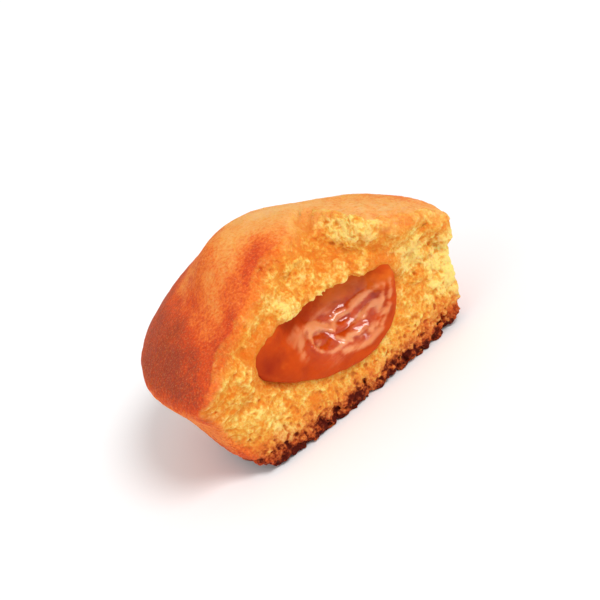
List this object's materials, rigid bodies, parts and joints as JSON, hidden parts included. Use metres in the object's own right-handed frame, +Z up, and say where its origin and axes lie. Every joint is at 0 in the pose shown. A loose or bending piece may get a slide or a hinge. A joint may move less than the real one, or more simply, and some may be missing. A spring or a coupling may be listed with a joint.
{
  "type": "fruit muffin",
  "caption": "Torn piece of a domed, jam-filled muffin: browned crown and side, open craggy crumb face, jam in a pocket, standing on a flat base.",
  "frame": {"origin": "on the base plane, on the axis that the muffin had before it was torn", "axes": "+Z up the muffin's axis from the base, +X along the torn face towards the right of someone who faces it, and the torn face looks towards -Y"},
  "size_m": [0.0656, 0.0448, 0.0385],
  "materials": {
    "cake": "soft yellow crumb under a browned crust",
    "jam": "glossy translucent orange jam"
  },
  "bodies": {
    "root": {"cake": "cake", "jam_filling": "jam"}
  },
  "joints": []
}
